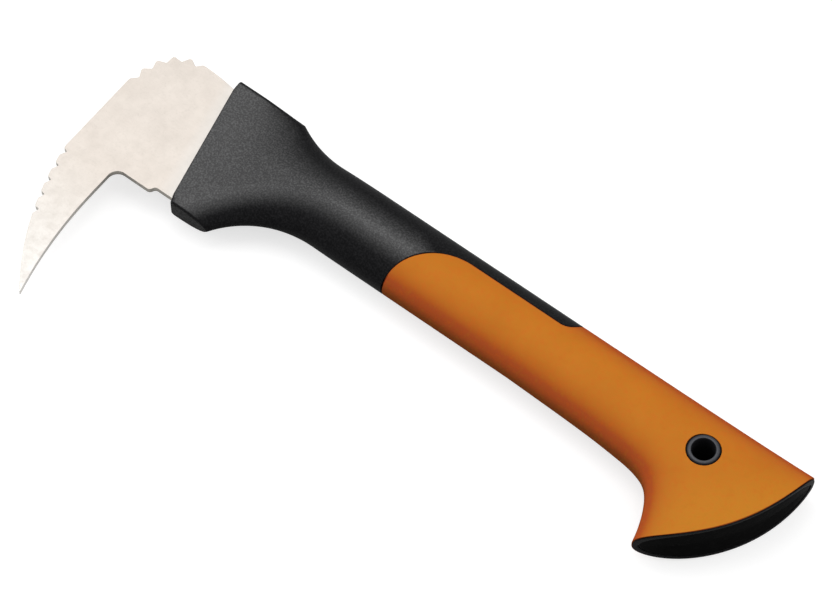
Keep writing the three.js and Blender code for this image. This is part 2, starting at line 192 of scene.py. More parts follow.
SHORTEST_EDGE = 1e-5

# Angles at which an edge is taken as a corner, in degrees, and how level a flat is
SHARP_EDGE = 35.0
PLAN_CORNER = 25.0
RIM_CORNER = 60.0
FLAT_NORMAL = 0.999

# Finishes
COLLAR_PAINTED_LIGHT_REACH = 9.0
CUT_EDGE_START = 0.3
CUT_EDGE_REACH = 0.6
PAD_UPRIGHT = 0.2
PAD_START = 0.6
PAD_REACH = 0.35
SPINE_SHADE = 0.025
HEADWARD_SHADE = 0.3
NYLON_PAINTED_SHADE_TILT = 0.44
NYLON_SHEEN = 0.4
TRIM_SHEEN = 0.03
GRIP_SHEEN = 0.11
LIP_START = 0.5
LIP_REACH = 0.45
LIP_WEAR_AND_HIGHLIGHT_TONE = (0.020, 0.020, 0.021, 1)
LIP_SHARE = 0.8
LIP_SHEEN = 0.07
EDGE_SHEEN = 0.002
FACED = 0.98
WORN_GAIN = 1.8
# For the plug and the bush the face tone is painted light on faces that turn up or down, and the other
# tone is painted shade on their sides; on the bush this paints a light ring round the lip and a dark bore.
PLUG_FINISH = {"tone": (0.006, 0.006, 0.006), "painted_lit_face_tone": (0.011, 0.011, 0.011),
               "sheen": 0.3, "turn": 0.5}
BUSH_FINISH = {"tone": (0.014, 0.014, 0.016), "painted_lit_face_tone": (0.040, 0.042, 0.051),
               "sheen": 0.25, "turn": 0.8}

# Camera, with its angles in degrees
CAMERA_AZIMUTH = 37.73
CAMERA_ELEVATION = 60.2
CAMERA_DISTANCE = 2100.0
CAMERA_LENS = 195.09
CAMERA_SENSOR = 36
CAMERA_AIM = (182.08, -13.62, 0.0)

# Studio, in metres, degrees and watts
CAMERA_SIGHT = 20
FLOOR_REACH = 4.0
FLOOR_SQUARES = 8
FLOOR_GLOW = 0.66
SKY_LIGHT = 0.5
SKY_SEEN = 1.0
WHITE = (1, 1, 1, 1)
SOFT_BOX_DISTANCE = 2.6
SOFT_BOXES = (
    {"name": "key_above", "azimuth": 218, "elevation": 72, "size": 1.5, "power": 15},
    {"name": "side_head", "azimuth": 285, "elevation": 35, "size": 2.4, "power": 32},
    {"name": "side_butt", "azimuth": 130, "elevation": 35, "size": 2.4, "power": 20},
)

# Places worked out from the sizes
TOE_X = HEAD_WIDTH + THROAT_LENGTH
COLLAR_FRONT_X = TOE_X - COLLAR_LEAN
COLLAR_TOP_Y = GRIP_HALF_WIDTH + COLLAR_RISE
TOE_Y = -GRIP_HALF_WIDTH - TOE_REACH
HEAD_TOP_Y = COLLAR_TOP_Y - COLLAR_TOP_WALL
TANG_TOP_Y = HEAD_TOP_Y - HEAD_TOP_FALL
THROAT_Y = TOE_Y + COLLAR_TOE_WALL
NECK_START_X = COLLAR_FRONT_X + COLLAR_TOP_LENGTH
TOE_CORNER_X = TOE_X + TOE_LENGTH
SWEEP_END_X = TOE_CORNER_X + math.sqrt(BELLY_SWEEP_RADIUS ** 2 - (BELLY_SWEEP_RADIUS - TOE_REACH) ** 2)
GRIP_FRONT_X = SWEEP_END_X + SHAFT_LENGTH
STRIP_Y = GRIP_CORNER_RISE - GRIP_HALF_WIDTH
STRIP_TIP_X = GRIP_FRONT_X + STRIP_LENGTH
FLARE_START_X = GRIP_FRONT_X + FLARE_START
HANG_HOLE = Vector((FLARE_START_X + FLARE_SPINE_LENGTH - HANG_HOLE_PLACE, -HANG_HOLE_OFFSET))

# Where the maker's zero lies in the frame, in metres
CAD_LOW, CAD_HIGH = Vector(cad_box[0]), Vector(cad_box[1])
ZERO = Vector((CAD_LOW.x, CAD_HIGH.y - COLLAR_TOP_Y * MM, (CAD_LOW.z + CAD_HIGH.z) / 2))


def placed(x, y, z):
    return ZERO + Vector((x, y, z)) * MM


def mix(a, b, share):
    return a + (b - a) * share


def smooth(share):
    held = min(max(share, 0.0), 1.0)
    return held * held * (3 - 2 * held)


def steps(count, start, end):
    return [mix(start, end, index / count) for index in range(count + 1)]


def edge_drop(distance, radius):
    """How far a rounded edge lies under the flat at a distance in from the edge."""
    if radius <= 0 or distance >= radius:
        return 0.0
    return radius - math.sqrt(max(radius ** 2 - (radius - distance) ** 2, 0.0))


def quarter_round(radius, count):
    """Places round a rounded edge, as pairs of how far each lies in from the two sides it joins."""
    turns = steps(count, 0, math.pi / 2)
    return [(radius * (1 - math.cos(turn)), radius * (1 - math.sin(turn))) for turn in turns]


def rounded(distance, reach, fullness=2.0):
    """Height of an oval edge at a distance in from the outline; fullness 2 is a true ellipse."""
    inner = 1 - min(max(distance / reach, 0.0), 1.0)
    return (1 - inner ** fullness) ** (1 / fullness)


# Sections of the handle, each a plan line from the spine edge to the belly edge

class Section:
    def __init__(self, plan_at, half_at, length):
        self.plan_at = plan_at
        self.half_at = half_at
        self.length = length
        self.middle = plan_at(0.5)


def half_thickness_at(x):
    return mix(COLLAR_HALF, GRIP_HALF, smooth((x - TOE_X - WEDGE_START) / WEDGE_LENGTH))


def spine_y(x):
    share = min(max((x - NECK_START_X) / NECK_LENGTH, 0.0), 1.0)
    return GRIP_HALF_WIDTH + COLLAR_RISE * (1 - share) ** 2


def belly_distance(point):
    if point.x >= SWEEP_END_X:
        return point.y + GRIP_HALF_WIDTH
    centre = Vector((SWEEP_END_X, -GRIP_HALF_WIDTH - BELLY_SWEEP_RADIUS))
    return max((point - centre).length - BELLY_SWEEP_RADIUS, 0.0)


def belly_edge(x):
    if x <= TOE_CORNER_X:
        return Vector((x, TOE_Y + edge_drop(x - TOE_X, TOE_CORNER_RADIUS)))
    drop = BELLY_SWEEP_RADIUS - math.sqrt(BELLY_SWEEP_RADIUS ** 2 - (SWEEP_END_X - x) ** 2)
    return Vector((x, -GRIP_HALF_WIDTH - drop))


def collar_section(share):
    spine_x = mix(COLLAR_FRONT_X, SWEEP_END_X, share)
    spine = Vector((spine_x, spine_y(spine_x)))
    belly = belly_edge(mix(TOE_X, SWEEP_END_X, share))
    length = (belly - spine).length
    blend = smooth((spine_x - NECK_START_X) / (SWEEP_END_X - NECK_START_X))
    spine_turn = smooth((spine_x - SPINE_TURN_START) / SPINE_TURN_LENGTH)
    belly_round = mix(COLLAR_BELLY_ROUND, length / 2, blend)
    fullness = mix(2.0, GRIP_FULLNESS, blend)
    bend = COLLAR_FRONT_BEND * (1 - share) ** 4

    def plan_at(t):
        place = t * length
        if place < COLLAR_FRONT_BEND_DROP:
            nearness = place / COLLAR_FRONT_BEND_DROP
        else:
            nearness = (length - place) / (length - COLLAR_FRONT_BEND_DROP)
        point = spine.lerp(belly, t)
        point.x -= bend * nearness
        return point

    def half_at(t):
        point = plan_at(t)
        near_spine = mix(rounded(t * length, COLLAR_SPINE_ROUND),
                         rounded(t * length, length / 2, fullness), spine_turn)
        return (half_thickness_at(point.x) * near_spine
                * rounded(belly_distance(point), belly_round, fullness))

    return Section(plan_at, half_at, length)


def shaft_section(x):
    length = 2 * GRIP_HALF_WIDTH

    def half_at(t):
        nearest = min(t, 1 - t) * length
        return half_thickness_at(x) * rounded(nearest, length / 2, GRIP_FULLNESS)

    return Section(lambda t: Vector((x, GRIP_HALF_WIDTH - t * length)), half_at, length)


def spline(points, span, share):
    """Point of an even curve through the points, in the given span between two of them."""
    before = points[span - 1] if span > 0 else 2 * points[0] - points[1]
    start, end = points[span], points[span + 1]
    after = points[span + 2] if span + 2 < len(points) else 2 * end - start
    pull, push = (end - before) / 2, (after - start) / 2
    square, cube = share ** 2, share ** 3
    return ((2 * cube - 3 * square + 1) * start + (cube - 2 * square + share) * pull
            + (3 * square - 2 * cube) * end + (cube - square) * push)


def flare_belly_points():
    corners = [Vector((FLARE_START_X + HEEL_RUN * run, -GRIP_HALF_WIDTH - HEEL_DROP * drop))
               for run, drop in zip(BELLY_RUN_SHARES, BELLY_DROP_SHARES)]
    points = [corners[0]]
    for span in range(len(corners) - 1):
        points += [spline(corners, span, share) for share in steps(BELLY_SPAN_STEPS, 0, 1)[1:]]
    return points


def measured(points):
    lengths = [0.0]
    for before, after in zip(points, points[1:]):
        lengths.append(lengths[-1] + (after - before).length)
    return lengths


def along(points, lengths, distance):
    """Point at a distance along a chain of points."""
    low, high = 0, len(points) - 1
    while high - low > 1:
        half = (low + high) // 2
        low, high = (half, high) if lengths[half] <= distance else (low, half)
    share = (distance - lengths[low]) / (lengths[high] - lengths[low])
    return points[low].lerp(points[high], min(max(share, 0.0), 1.0))


BELLY_POINTS = flare_belly_points()
BELLY_LENGTHS = measured(BELLY_POINTS)
BELLY_LENGTH = BELLY_LENGTHS[-1]


def flare_section(station):
    rise = BUTT_SPINE_RISE * station ** 4
    spine = Vector((FLARE_START_X + FLARE_SPINE_LENGTH * station, GRIP_HALF_WIDTH + rise))
    belly = along(BELLY_POINTS, BELLY_LENGTHS, station * BELLY_LENGTH)
    chord = belly - spine
    length = chord.length
    outward = Vector((-chord.y, chord.x)) / length
    bulge = BUTT_BULGE * station ** 2
    nearness = station ** 2
    crest = mix(0.5, BUTT_CREST_SHARE, nearness)
    top = mix(GRIP_HALF, BUTT_HALF, nearness)
    fullness = mix(GRIP_FULLNESS, BUTT_FULLNESS, nearness)

    def plan_at(t):
        return spine.lerp(belly, t) + outward * (4 * t * (1 - t) * bulge)

    def half_at(t):
        return top * rounded(t, crest, fullness) * rounded(1 - t, 1 - crest, fullness)

    return Section(plan_at, half_at, length)


# The seam between the dark core and the soft grip, in plan

def seam_y(x, gap):
    """The soft grip lies under this line, which is let down by a gap on the grip's own side."""
    front = GRIP_FRONT_X + gap
    corner = GRIP_FRONT_X + GRIP_CORNER_RUN
    tip_run = STRIP_TIP_RUN + gap
    if x <= front:
        return -GRIP_HALF_WIDTH
    if x < corner:
        share = (corner - x) / (corner - front)
        return -GRIP_HALF_WIDTH + (GRIP_CORNER_RISE - gap) * math.sqrt(1 - share ** 2)
    if x <= STRIP_TIP_X:
        return STRIP_Y - gap
    share = (x - STRIP_TIP_X) / tip_run
    if share >= 1:
        return 2 * GRIP_HALF_WIDTH
    return GRIP_HALF_WIDTH - (GRIP_HALF_WIDTH - STRIP_Y + gap) * math.sqrt(1 - share ** 2)


def seam_share(section, gap):
    """Share of a section, counted from the spine, at which the seam crosses it."""
    low, high = 0.0, 1.0
    for _ in range(HALVINGS):
        half = (low + high) / 2
        point = section.plan_at(half)
        low, high = (low, half) if point.y <= seam_y(point.x, gap) else (half, high)
    return high if high > 1e-6 else 0.0


def section_at(x):
    if x < FLARE_START_X:
        return shaft_section(x)
    return flare_section((x - FLARE_START_X) / FLARE_SPINE_LENGTH)


def seam_places(gap):
    """Places along the grip at which the seam, let down by a gap, passes a column."""
    run, rise = GRIP_CORNER_RUN - gap, GRIP_CORNER_RISE - gap
    tip_run, tip_rise = STRIP_TIP_RUN + gap, GRIP_HALF_WIDTH - STRIP_Y + gap
    corner = GRIP_FRONT_X + GRIP_CORNER_RUN
    places = []
    for t in COLUMNS:
        above, below = 2 * GRIP_HALF_WIDTH * (1 - t), 2 * GRIP_HALF_WIDTH * t
        if above < rise:
            places.append(corner - run * math.sqrt(1 - (above / rise) ** 2))
        if below < tip_rise:
            places.append(STRIP_TIP_X + tip_run * math.sqrt(1 - (below / tip_rise) ** 2))
    return places


def rows_along_seam(near, far):
    """Places for rows from one end of the seam to the other, so that it steps over columns singly."""
    first = GRIP_FRONT_X + min(near, far)
    last = STRIP_TIP_X + STRIP_TIP_RUN + max(near, far)
    places = steps(round((last - first) / ROW_STEP), first, last)
    places += seam_places(near) + seam_places(far)
    places = sorted(place for place in places if place < last - ROW_CLOSEST)
    kept = places[:1]
    for place in places:
        if place - kept[-1] > ROW_CLOSEST:
            kept.append(place)
    return kept + [last]


# Points across one section

def cosine_shares(count):
    return [(1 - math.cos(math.pi * step)) / 2 for step in steps(count, 0, 1)]


COLUMNS = cosine_shares(OUTER_COLUMNS)
INNER = cosine_shares(INNER_COLUMNS)


def skin_point(section, t, depth=0.0):
    """Point on a section's upper side, sunk towards the middle of the section by a depth."""
    plan = section.plan_at(t)
    point = Vector((plan.x, plan.y, max(section.half_at(t), 0.0)))
    if depth <= 0:
        return point
    inward = Vector((section.middle.x, section.middle.y, 0)) - point
    return point + inward.normalized() * min(depth, inward.length)


def inset_point(section, t, inset, shift):
    """Point of a section drawn in evenly by an inset and moved in plan."""
    margin = inset / section.length
    plan = section.plan_at(mix(margin, 1 - margin, t)) + shift
    return Vector((plan.x, plan.y, max(section.half_at(t) - inset, 0.0)))


# Building with half skins

def half_skin(rows):
    """Closed shape whose upper half runs through rows of points and whose lower half mirrors it."""
    columns = len(rows[0])
    bm = bmesh.new()
    bmesh.ops.create_grid(bm, x_segments=columns - 1, y_segments=len(rows) - 1, size=1)
    bm.verts.ensure_lookup_table()
    for index, vert in enumerate(bm.verts):
        vert.co = rows[index // columns][index % columns]
    bmesh.ops.remove_doubles(bm, verts=bm.verts, dist=JOIN_DISTANCE)
    flat = [face for face in bm.faces if all(abs(vert.co.z) < JOIN_DISTANCE for vert in face.verts)]
    bmesh.ops.delete(bm, geom=flat, context="FACES")
    everything = bm.verts[:] + bm.edges[:] + bm.faces[:]
    bmesh.ops.mirror(bm, geom=everything, axis="Z", merge_dist=JOIN_DISTANCE)
    bmesh.ops.remove_doubles(bm, verts=bm.verts, dist=JOIN_DISTANCE)
    bmesh.ops.dissolve_degenerate(bm, dist=SHORTEST_EDGE, edges=bm.edges)
    loose = [vert for vert in bm.verts if not vert.link_faces]
    bmesh.ops.delete(bm, geom=loose, context="VERTS")
    bmesh.ops.recalc_face_normals(bm, faces=bm.faces)
    return bm


def mark_faces(bm, name, share_of):
    """Writes a share on each face that the material reads by name."""
    layer = bm.faces.layers.float.new(name)
    bm.normal_update()
    for face in bm.faces:
        face[layer] = share_of(face)


def finish_piece(bm, name, nodes, material, flats=False):
    """Sets a bmesh down in the frame as a finished piece that stands for CAD nodes."""
    bmesh.ops.scale(bm, vec=(MM, MM, MM), verts=bm.verts)
    bmesh.ops.translate(bm, vec=ZERO, verts=bm.verts)
    for face in bm.faces:
        face.smooth = not (flats and abs(face.normal.z) > FLAT_NORMAL)
    for edge in bm.edges:
        edge.smooth = edge.calc_face_angle(0.0) < math.radians(SHARP_EDGE)
    mesh = bpy.data.meshes.new(name)
    bm.to_mesh(mesh)
    bm.free()
    mesh.materials.append(material)
    piece = bpy.data.objects.new(name, mesh)
    bpy.context.scene.collection.objects.link(piece)
    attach(piece, "root")
    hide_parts(*nodes)
    return piece


def cut_hanging_hole(piece, radius):
    """Bores the hanging hole through a piece."""
    bm = bmesh.new()
    bmesh.ops.create_cone(bm, cap_ends=True, segments=FULL_TURN_STEPS, radius1=radius * MM,
                          radius2=radius * MM, depth=2 * (CAD_HIGH.z - CAD_LOW.z))
    bmesh.ops.translate(bm, vec=placed(HANG_HOLE.x, HANG_HOLE.y, 0), verts=bm.verts)
    mesh = bpy.data.meshes.new("hole_cutter")
    bm.to_mesh(mesh)
    bm.free()
    cutter = bpy.data.objects.new("hole_cutter", mesh)
    bpy.context.scene.collection.objects.link(cutter)
    cut = piece.modifiers.new("hanging_hole", "BOOLEAN")
    cut.operation = "DIFFERENCE"
    cut.solver = "EXACT"
    cut.object = cutter
    bpy.context.view_layer.update()
    seen = piece.evaluated_get(bpy.context.evaluated_depsgraph_get())
    bored = bpy.data.meshes.new_from_object(seen)
    piece.modifiers.clear()
    piece.data = bored
    bpy.data.objects.remove(cutter)
    return piece


# Steel head

def quadratic(start, control, end, share):
    return start.lerp(control, share).lerp(control.lerp(end, share), share)


def curve_points(start, control, end, count):
    return [quadratic(start, control, end, share) for share in steps(count, 0, 1)]


def toothed_row(points, teeth):
    """Tips and notches of a row of teeth along a chain of points."""
    lengths = measured(points)
    row = []
    for tooth in range(teeth["count"]):
        tip = FIRST_TOOTH_INSET + tooth * teeth["pitch"]
        for share, depth in ((0, 0), (teeth["notch"], teeth["depth"]), (teeth["shoulder"], 0)):
            place = tip + teeth["pitch"] * share
            here = along(points, lengths, place)
            ahead = along(points, lengths, place + FIRST_TOOTH_INSET / 2)
            behind = along(points, lengths, max(place - FIRST_TOOTH_INSET / 2, 0))
            run = (ahead - behind).normalized()
            row.append(here + Vector((run.y, -run.x)) * teeth["side"] * depth)
    return row


def crown_points():
    start = Vector((0, -CROWN_DROP))
    end = Vector((CROWN_RUN, HEAD_TOP_Y))
    points = curve_points(start, Vector((CROWN_LEAN, HEAD_TOP_Y)), end, CURVE_STEPS)
    return [start] + toothed_row(points, CROWN_TEETH)[:-1]


def head_top_points():
    start = Vector((CROWN_RUN, HEAD_TOP_Y))
    control = Vector((CROWN_RUN + HEAD_TOP_RUN, HEAD_TOP_Y))
    return curve_points(start, control, Vector((COLLAR_FRONT_X, TANG_TOP_Y)), HEAD_TOP_STEPS)


def bulged(start, end, bulge):
    chord = end - start
    return (start + end) / 2 + Vector((chord.y, -chord.x)).normalized() * 2 * bulge


def outer_edge_points():
    start = Vector((0, -FRONT_EDGE_DROP))
    end = Vector((PICK_TIP_X - PICK_TIP_FLAT, -PICK_DROP + PICK_TIP_FLAT))
    points = curve_points(start, bulged(start, end, OUTER_EDGE_BULGE), end, CURVE_STEPS)
    lengths = measured(points)
    toothed = FIRST_TOOTH_INSET + LOWER_TEETH["count"] * LOWER_TEETH["pitch"]
    plain = [along(points, lengths, place) for place in steps(PLAIN_EDGE_STEPS, toothed, lengths[-1])]
    return [start] + toothed_row(points, LOWER_TEETH) + plain + [Vector((PICK_TIP_X, -PICK_DROP))]


def hook_points():
    floor_y = THROAT_Y - THROAT_STEP
    step_x = TOE_X - THROAT_STEP_PLACE
    centre = Vector((HEAD_WIDTH + THROAT_FILLET, floor_y - THROAT_FILLET))
    start = Vector((HEAD_WIDTH, centre.y - HOOK_STRAIGHT))
    tip = Vector((PICK_TIP_X, -PICK_DROP + PICK_TIP_FLAT))
    fillet = [centre + Vector((math.cos(turn), math.sin(turn))) * THROAT_FILLET
              for turn in steps(FILLET_STEPS, math.pi / 2, math.pi)]
    inner = curve_points(start, bulged(start, tip, HOOK_BULGE), tip, HOOK_STEPS)
    step = [Vector((step_x, THROAT_Y)), Vector((step_x - THROAT_STEP_RUN, floor_y))]
    return step + fillet + inner


def head_outline():
    tang_x = TOE_X + TANG_LENGTH
    tang = [Vector((tang_x, TANG_TOP_Y)), Vector((tang_x, THROAT_Y))]
    return crown_points() + head_top_points() + tang + hook_points() + outer_edge_points()[::-1]


def cut_edge_share(face):
    """Zero on the plate's flats, one on its cut edge."""
    return 1 - smooth((abs(face.normal.z) - CUT_EDGE_START) / CUT_EDGE_REACH)


def pick_head(material):
    bm = bmesh.new()
    verts = [bm.verts.new((point.x, point.y, PLATE_THICKNESS / 2)) for point in head_outline()]
    edges = [bm.edges.new(pair) for pair in zip(verts, verts[1:] + verts[:1])]
    face = bmesh.ops.contextual_create(bm, geom=edges)["faces"][0]
    corners = [loop.vert for loop in face.loops
               if abs(math.pi - loop.calc_angle()) > math.radians(PLAN_CORNER)]
    step_x = TOE_X - THROAT_STEP_PLACE
    step = [vert for vert in corners if abs(vert.co.x - step_x) < 2 * THROAT_STEP_RUN]
    teeth = [vert for vert in corners if vert not in step and vert.co.x < TOE_X]
    for group, radius in ((step, THROAT_STEP_ROUND), (teeth, TOOTH_TIP_RADIUS)):
        bmesh.ops.bevel(bm, geom=group, offset=radius, offset_type="OFFSET", affect="VERTICES",
                        segments=CORNER_STEPS, profile=0.5, material=-1, clamp_overlap=True)
    made = bmesh.ops.extrude_face_region(bm, geom=bm.faces[:])
    lower = [item for item in made["geom"] if isinstance(item, bmesh.types.BMVert)]
    bmesh.ops.translate(bm, vec=(0, 0, -PLATE_THICKNESS), verts=lower)
    bmesh.ops.recalc_face_normals(bm, faces=bm.faces)
    rims = [edge for edge in bm.edges if edge.calc_face_angle(0.0) > math.radians(RIM_CORNER)
            and abs(edge.verts[0].co.z - edge.verts[1].co.z) < PLATE_EDGE_BEVEL]
    bmesh.ops.bevel(bm, geom=rims, offset=PLATE_EDGE_BEVEL, offset_type="OFFSET", affect="EDGES",
                    segments=BEVEL_STEPS, profile=0.5, material=-1, clamp_overlap=True)
    mark_faces(bm, "cut_edge", cut_edge_share)
    return finish_piece(bm, "pick_head_steel", ["pick_head"], material, flats=True)


# Dark core

def foot_drop(from_front, from_toe):
    """How far the round at the foot of the toe's front lets the upper face down."""
    return edge_drop(from_front, TOE_FOOT_RADIUS) * smooth(1 - from_toe / TOE_FOOT_FADE)


def tail_of(section, from_front):
    """Points from a section's last upper point past the toe's groove and pad to the middle plane."""
    top = skin_point(section, 1.0)
    top.z -= foot_drop(from_front, 0.0)
    share = smooth(top.z / COLLAR_HALF * TOE_GROOVE_FADE)
    inward = (section.middle - top.xy).normalized()
    drop = TOE_GROOVE_DROP * share
    width = TOE_GROOVE_WIDTH * share
    groove = TOE_GROOVE_DEPTH * share
    slope = groove * TOE_GROOVE_SLOPE
    points = []
    for fall, cut in ((drop, 0), (drop + slope, groove), (drop + slope + width, groove),
                      (drop + 2 * slope + width, 0), (top.z, 0)):
        place = top.xy + inward * cut
        points.append(Vector((place.x, place.y, max(top.z - fall, 0.0))))
    return points


def collar_row(section, inset=0.0, shift=Vector((0, 0)), from_front=TOE_LENGTH):
    points = []
    for t in cosine_shares(OUTER_COLUMNS):
        point = inset_point(section, t, inset, shift)
        edge = COLLAR_EDGE_ROUND * smooth(section.half_at(1.0) / COLLAR_EDGE_ROUND)
        from_toe = (1 - t) * section.length
        drop = edge_drop(from_toe, edge) + foot_drop(from_front, from_toe)
        point.z = max(point.z - drop, 0.0)
        points.append(point)
    top = points[-1]
    moved = top.xy - section.plan_at(1.0)
    for point in tail_of(section, from_front):
        place = point.xy + moved
        points.append(Vector((place.x, place.y, min(point.z, top.z))))
    return points


def slot_row(section, depth):
    """Row along the slot that the plate fills, a depth in from the collar's front."""
    half = PLATE_THICKNESS / 2 + SLOT_CLEARANCE
    top = (COLLAR_TOP_Y - TANG_TOP_Y - SLOT_CLEARANCE) / (COLLAR_TOP_Y - TOE_Y)
    bottom = 1 - (COLLAR_TOE_WALL - SLOT_CLEARANCE) / (COLLAR_TOP_Y - TOE_Y)
    points = []
    for t in cosine_shares(OUTER_COLUMNS):
        plan = section.plan_at(mix(top, bottom, t))
        points.append(Vector((plan.x + depth, plan.y, half)))
    end = points[-1]
    return points + [Vector((end.x, end.y, half * share)) for share in SLOT_WALL_SHARES]


def strip_row(x):
    """Upper points of the core from the spine to the seam, down its wall and in to the middle."""
    section = section_at(x)
    tip = STRIP_TIP_X + STRIP_TIP_RUN
    points = []
    for share in EDGE_SHARES:
        reach = CORE_EDGE_ROUND * share
        seam = seam_share(section, -reach)
        drop = edge_drop(min(max(reach, GRIP_FRONT_X - x), tip - x), CORE_EDGE_ROUND)
        if share == 1:
            points += [skin_point(section, min(t, seam), drop) for t in COLUMNS]
        else:
            points.append(skin_point(section, seam, drop))
    foot = skin_point(section, seam, GRIP_WALL if x >= GRIP_FRONT_X else drop)
    return points + [foot, Vector((foot.x, foot.y, 0))]


def flatten(row):
    """The same row pressed to the middle plane, which closes an end."""
    return [Vector((point.x, point.y, 0)) for point in row]


def collar_and_strip():
    front = collar_section(0.0)
    slot_depth = TANG_LENGTH - SLOT_CLEARANCE
    rows = [flatten(slot_row(front, slot_depth)), slot_row(front, slot_depth), slot_row(front, 0.0)]
    for run, inset in quarter_round(COLLAR_EDGE_ROUND, COLLAR_ROUND_STEPS)[:-1]:
        rows.append(collar_row(front, inset, Vector((run, 0)), run))
    sweep = SWEEP_END_X - TOE_X
    start = COLLAR_EDGE_ROUND / sweep
    shares = [start * stretch for stretch in FRONT_ROW_STRETCH]
    shares += steps(round(sweep / ROW_STEP), EVEN_ROWS_START * start, 1)
    rows += [collar_row(collar_section(share), from_front=share * sweep) for share in shares]
    shaft_end = GRIP_FRONT_X - CORE_EDGE_ROUND
    count = round((shaft_end - SWEEP_END_X) / ROW_STEP)
    rows += [collar_row(shaft_section(x)) for x in steps(count, SWEEP_END_X, shaft_end)[1:-1]]
    rows += [strip_row(x) for x in rows_along_seam(0.0, -CORE_EDGE_ROUND)]
    return half_skin(rows)


def carrier_row(section, inset, shift=0.0):
    outward = butt_outward() * shift
    return [inset_point(section, t, inset, outward) for t in cosine_shares(OUTER_COLUMNS)]


def butt_outward():
    """Direction in plan in which the end of the butt faces."""
    corner = Vector((FLARE_START_X + FLARE_SPINE_LENGTH, GRIP_HALF_WIDTH + BUTT_SPINE_RISE))
    chord = BELLY_POINTS[-1] - corner
    return Vector((-chord.y, chord.x)).normalized()


def core_carrier():
    """Inner body under the grip, ending in the rim that shows round the plug."""
    under = GRIP_WALL + SEAM_GAP
    rim = 1 - BUTT_RIM_DEPTH / BELLY_LENGTH
    first = shaft_section(GRIP_FRONT_X - 2 * ROW_STEP)
    rows = [flatten(carrier_row(first, under)), carrier_row(first, under)]
    rows += [carrier_row(shaft_section(x), under)
             for x in steps(CARRIER_SHAFT_ROWS, GRIP_FRONT_X, FLARE_START_X)]
    rows += [carrier_row(flare_section(station), under)
             for station in steps(CARRIER_FLARE_ROWS, 0, rim)[1:]]
    butt = flare_section(1.0)
    rows.append(carrier_row(flare_section(rim), BUTT_RIM_INSET))
    for across, down in quarter_round(BUTT_RIM_ROUND, RIM_OUTER_STEPS):
        rows.append(carrier_row(butt, BUTT_RIM_INSET + across, -down))
    for down, across in quarter_round(BUTT_RIM_ROUND, RIM_INNER_STEPS):
        rows.append(carrier_row(butt, BUTT_RIM_WIDTH - across, -down))
    rows.append(carrier_row(butt, BUTT_RIM_WIDTH, -PLUG_THICKNESS))
    rows.append(flatten(rows[-1]))
    return half_skin(rows)


def joined(first, second):
    """One bmesh holding two closed shapes."""
    mesh = bpy.data.meshes.new("joined_part")
    second.to_mesh(mesh)
    second.free()
    first.from_mesh(mesh)
    bpy.data.meshes.remove(mesh)
    return first


def toe_pad_share(face):
    """One on the flat under the toe, zero on the rest of the core."""
    under_toe = face.calc_center_median().x < TOE_CORNER_X and abs(face.normal.z) < PAD_UPRIGHT
    return smooth((-face.normal.y - PAD_START) / PAD_REACH) if under_toe else 0.0


def trim_share(face):
    """One on the strip along the spine and on the butt's rim, zero on the shaft ahead of the grip."""
    return smooth((face.calc_center_median().x - GRIP_FRONT_X) / GRIP_CORNER_RUN)


def handle_core(material):
    bm = joined(collar_and_strip(), core_carrier())
    mark_faces(bm, "toe_pad", toe_pad_share)
    mark_faces(bm, "trim", trim_share)
    core = finish_piece(bm, "handle_core_nylon", ["handle_core"], material)
    return cut_hanging_hole(core, BUSH_RADIUS + BUSH_CLEARANCE)


# Soft grip

def grip_row(section, x, end_drop=0.0):
    """Points from the belly in under the grip to the seam, up its wall and back over the outside."""
    front = GRIP_FRONT_X + SEAM_GAP
    tip = STRIP_TIP_X + STRIP_TIP_RUN + SEAM_GAP
    seam = seam_share(section, SEAM_GAP)
    points = [skin_point(section, max(t, seam), GRIP_WALL) for t in reversed(INNER)]
    for share in reversed(EDGE_SHARES):
        reach = GRIP_EDGE_ROUND * share
        start = seam_share(section, SEAM_GAP + reach)
        drop = max(edge_drop(max(min(reach, x - front), x - tip), GRIP_EDGE_ROUND), end_drop)
        if share == 1:
            points += [skin_point(section, max(t, start), drop) for t in COLUMNS]
        else:
            points.append(skin_point(section, start, drop))
    return points


def grip_sleeve(material):
    near, far = SEAM_GAP, SEAM_GAP + GRIP_EDGE_ROUND
    places = rows_along_seam(near, far)
    rows = [grip_row(section_at(x), x) for x in places]
    start = (places[-1] - FLARE_START_X) / FLARE_SPINE_LENGTH
    end = 1 - (BUTT_RIM_DEPTH + SEAM_GAP) / BELLY_LENGTH
    round_start = end - GRIP_END_ROUND / BELLY_LENGTH
    count = round((round_start - start) * FLARE_SPINE_LENGTH / ROW_STEP)
    beyond = STRIP_TIP_X + 2 * STRIP_TIP_RUN
    rows += [grip_row(flare_section(station), beyond) for station in steps(count, start, round_start)[1:]]
    for drop, back in quarter_round(GRIP_END_ROUND, GRIP_END_STEPS)[1:]:
        rows.append(grip_row(flare_section(end - back / BELLY_LENGTH), beyond, drop))
    rows.append(grip_row(flare_section(end), beyond, GRIP_WALL))
    sleeve = finish_piece(half_skin(rows), "grip_sleeve_soft", ["grip_sleeve"], material)
    return cut_hanging_hole(sleeve, BUSH_RADIUS + BUSH_CLEARANCE)


# Butt plug and hanging-hole bush

def plug_lip_share(face):
    """Zero on the plug's face, one on its rounded lip and its sides."""
    return 1 - smooth((face.normal.xy.dot(butt_outward()) - LIP_START) / LIP_REACH)


